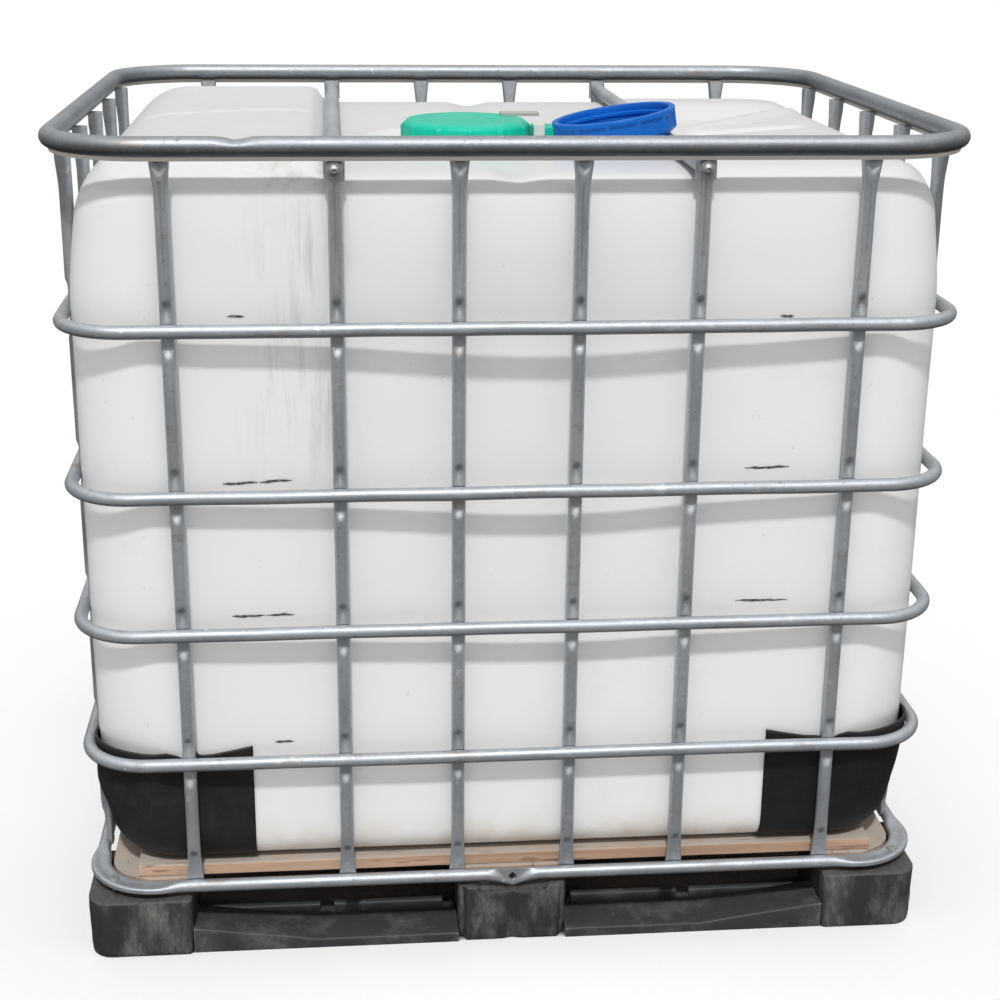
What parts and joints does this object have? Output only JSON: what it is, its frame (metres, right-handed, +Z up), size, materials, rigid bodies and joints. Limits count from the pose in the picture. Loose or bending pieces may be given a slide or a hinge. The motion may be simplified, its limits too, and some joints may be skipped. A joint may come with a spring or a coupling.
{
  "type": "intermediate bulk container",
  "caption": "Bulk liquid container: a square plastic bottle in a welded tube cage on a forkable pallet, with a screw-capped fill neck and a bottom discharge valve.",
  "frame": {"origin": "centre of the footprint at floor level", "axes": "+X along the long front to the right, +Y from the front to the back, +Z up"},
  "size_m": [1.2, 1, 1.1373],
  "materials": {
    "galvanised_steel": "galvanised, worn",
    "zinc_steel": "zinc plated",
    "black_plastic": "dusty moulded plastic",
    "timber": "sawn softwood",
    "white_polyethylene": "blow-moulded polyethylene",
    "rubber": "soft rubber",
    "green_plastic": "moulded plastic",
    "white_strap": "plastic strap",
    "grey_plastic": "moulded plastic",
    "blue_plastic": "moulded plastic",
    "red_plastic": "moulded plastic"
  },
  "bodies": {
    "container": {"foot_front_left": "black_plastic", "foot_front_centre": "black_plastic", "foot_front_right": "black_plastic", "foot_middle_left": "black_plastic", "foot_middle_centre": "black_plastic", "foot_middle_right": "black_plastic", "foot_rear_left": "black_plastic", "foot_rear_centre": "black_plastic", "foot_rear_right": "black_plastic", "runner_front": "black_plastic", "runner_middle": "black_plastic", "runner_rear": "black_plastic", "stringer_left": "timber", "stringer_centre": "timber", "stringer_right": "timber", "deck_board_1": "timber", "deck_board_2": "timber", "deck_board_3": "timber", "deck_board_4": "timber", "deck_board_5": "timber", "deck_screws": "zinc_steel", "bottom_rail": "galvanised_steel", "rail_screws": "zinc_steel", "front_uprights": "galvanised_steel", "rear_uprights": "galvanised_steel", "left_uprights": "galvanised_steel", "right_uprights": "galvanised_steel", "hoop_1": "galvanised_steel", "hoop_2": "galvanised_steel", "hoop_3": "galvanised_steel", "hoop_4": "galvanised_steel", "top_rail": "galvanised_steel", "cross_bar_left": "galvanised_steel", "cross_bar_right": "galvanised_steel", "cross_bar_bolts": "zinc_steel", "cross_bar_washers": "zinc_steel", "cross_bar_nuts": "zinc_steel", "guard_front_left": "black_plastic", "guard_front_right": "black_plastic", "guard_rear_left": "black_plastic", "guard_rear_right": "black_plastic", "bottle": "white_polyethylene", "seal_clip": "green_plastic", "seal_band": "white_strap", "union_nut": "black_plastic", "valve_gasket": "rubber", "valve_body": "black_plastic", "disc_seat": "rubber", "stem_seals": "rubber"},
    "fill_gasket": {"fill_cap_gasket": "rubber"},
    "fill_cap": {"fill_cap": "green_plastic", "seal_tag": "grey_plastic"},
    "spare_cap": {"spare_cap": "blue_plastic"},
    "valve_lever": {"valve_stem": "zinc_steel", "valve_disc": "grey_plastic", "valve_handle": "red_plastic", "handle_screw": "zinc_steel"},
    "outlet_gasket": {"outlet_cap_gasket": "rubber"},
    "outlet_cap": {"outlet_cap": "black_plastic"}
  },
  "joints": [
    {"name": "fill_cap_lift", "type": "slide", "parent": "container", "child": "fill_gasket", "axis": [0, 0, 1], "range_m": [0, 0.25]},
    {"name": "fill_cap_turn", "type": "hinge", "parent": "fill_gasket", "child": "fill_cap", "pos_m": [-0.042, -0.1, 1.1], "axis": [0, 0, 1], "range_deg": [0, 450]},
    {"name": "spare_cap_lift", "type": "slide", "parent": "container", "child": "spare_cap", "axis": [0, 0, 1], "range_m": [0, 0.25]},
    {"name": "valve_lever_turn", "type": "hinge", "parent": "container", "child": "valve_lever", "pos_m": [0.51, 0, 0.205], "axis": [0, 0, 1], "range_deg": [0, 90]},
    {"name": "outlet_cap_pull", "type": "slide", "parent": "container", "child": "outlet_gasket", "axis": [1, 0, 0], "range_m": [0, 0.15]},
    {"name": "outlet_cap_turn", "type": "hinge", "parent": "outlet_gasket", "child": "outlet_cap", "pos_m": [0.57, 0, 0.205], "axis": [1, 0, 0], "range_deg": [0, 540]}
  ]
}
